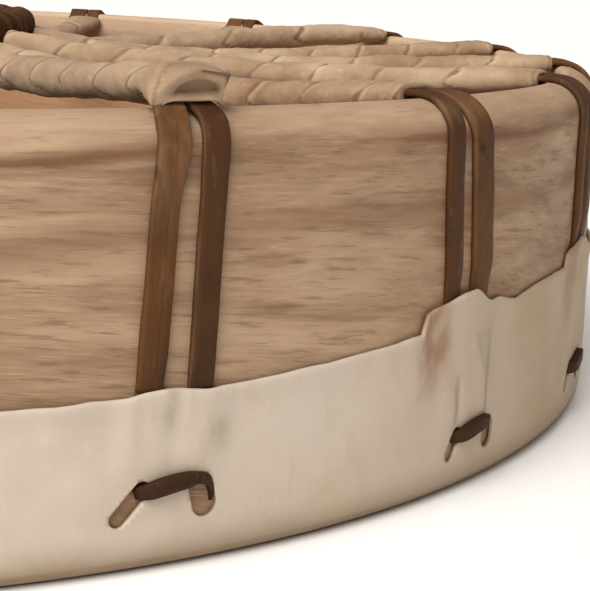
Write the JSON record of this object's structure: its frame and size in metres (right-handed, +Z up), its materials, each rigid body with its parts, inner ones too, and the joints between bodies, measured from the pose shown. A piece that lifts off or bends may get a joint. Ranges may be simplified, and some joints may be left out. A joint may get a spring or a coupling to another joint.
{
  "type": "frame drum",
  "caption": "Round hand drum: a bent wooden hoop with a rawhide skin folded up its outside, laced over the open back to a bound grip ring by pale hide-wound cords.",
  "frame": {"origin": "middle of the playing face's underside, on the surface the drum lies on", "axes": "+Z up out of the open back, -Y through the first pair of laces, +X to its right"},
  "size_m": [0.4111, 0.4101, 0.0831],
  "materials": {
    "wood": "oiled bare wood",
    "rawhide": "dried untanned hide",
    "lace_leather": "worn dark lace",
    "buckskin": "soft suede strip"
  },
  "bodies": {
    "root": {"wooden_hoop": "wood", "drum_skin": "rawhide", "grip_ring": "lace_leather", "lace_01": "lace_leather", "lace_02": "lace_leather", "lace_03": "lace_leather", "lace_04": "lace_leather", "lace_05": "lace_leather", "lace_06": "lace_leather", "lace_07": "lace_leather", "lace_08": "lace_leather", "lace_09": "lace_leather", "lace_10": "lace_leather", "lace_11": "lace_leather", "lace_12": "lace_leather", "lace_13": "lace_leather", "lace_14": "lace_leather", "lace_15": "lace_leather", "lace_16": "lace_leather", "lace_17": "lace_leather", "lace_18": "lace_leather", "lace_19": "lace_leather", "wound_roll_01": "buckskin", "wound_roll_02": "buckskin", "wound_roll_03": "buckskin", "wound_roll_04": "buckskin", "wound_roll_05": "buckskin", "wound_roll_06": "buckskin", "wound_roll_07": "buckskin", "wound_roll_08": "buckskin", "wound_roll_09": "buckskin", "wound_roll_10": "buckskin", "wound_roll_11": "buckskin", "wound_roll_12": "buckskin", "wound_roll_13": "buckskin", "wound_roll_14": "buckskin", "wound_roll_15": "buckskin", "wound_roll_16": "buckskin", "wound_roll_17": "buckskin", "wound_roll_18": "buckskin", "wound_roll_19": "buckskin"}
  },
  "joints": []
}
